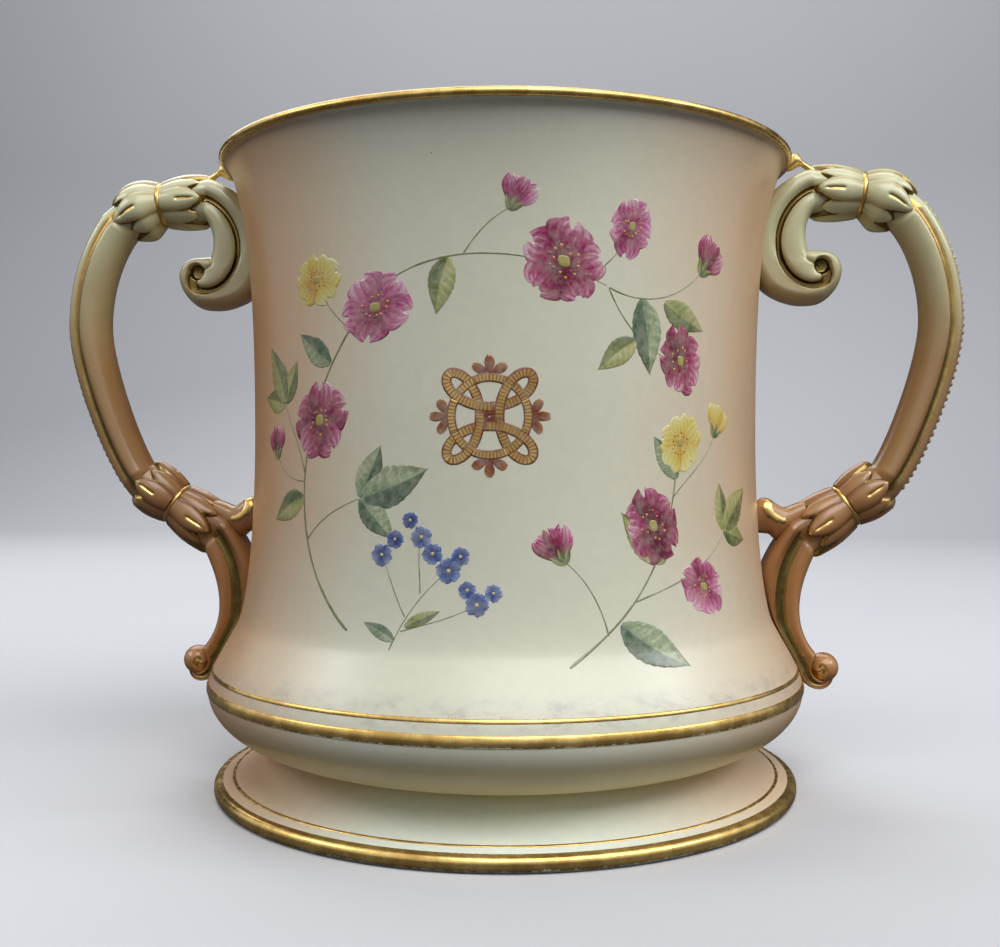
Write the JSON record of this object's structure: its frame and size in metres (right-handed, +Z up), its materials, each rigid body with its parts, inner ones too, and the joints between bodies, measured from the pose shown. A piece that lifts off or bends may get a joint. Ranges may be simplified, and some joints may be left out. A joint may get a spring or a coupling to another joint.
{
  "type": "two-handled loving cup",
  "caption": "Waisted porcelain loving cup with a rounded belly, a spreading foot, gilt bands and two scrolled leaf handles.",
  "frame": {"origin": "middle of the foot, on the surface that the cup stands on", "axes": "+Z up the axis of the cup, +X through the right handle, -Y toward the front of the cup"},
  "size_m": [0.2354, 0.1532, 0.162],
  "materials": {
    "porcelain": "gloss",
    "handle_porcelain": "gloss",
    "gilding": "burnished"
  },
  "bodies": {
    "root": {"body": "porcelain", "foot": "porcelain", "rim_gilding": "gilding", "belly_gilt_line": "gilding", "belly_gilt_band": "gilding", "foot_gilt_line": "gilding", "foot_gilt_band": "gilding", "right_bow": "handle_porcelain", "right_pearls": "handle_porcelain", "right_upper_bow_cup": "handle_porcelain", "right_upper_ring": "gilding", "right_upper_scroll_cup": "handle_porcelain", "right_upper_scroll": "handle_porcelain", "right_rim_tip": "gilding", "right_lower_bow_cup": "handle_porcelain", "right_lower_ring": "gilding", "right_lower_scroll_cup": "handle_porcelain", "right_lower_scroll": "handle_porcelain", "right_knob": "handle_porcelain", "right_hook": "gilding", "left_bow": "handle_porcelain", "left_pearls": "handle_porcelain", "left_upper_bow_cup": "handle_porcelain", "left_upper_ring": "gilding", "left_upper_scroll_cup": "handle_porcelain", "left_upper_scroll": "handle_porcelain", "left_rim_tip": "gilding", "left_lower_bow_cup": "handle_porcelain", "left_lower_ring": "gilding", "left_lower_scroll_cup": "handle_porcelain", "left_lower_scroll": "handle_porcelain", "left_knob": "handle_porcelain", "left_hook": "gilding"}
  },
  "joints": []
}
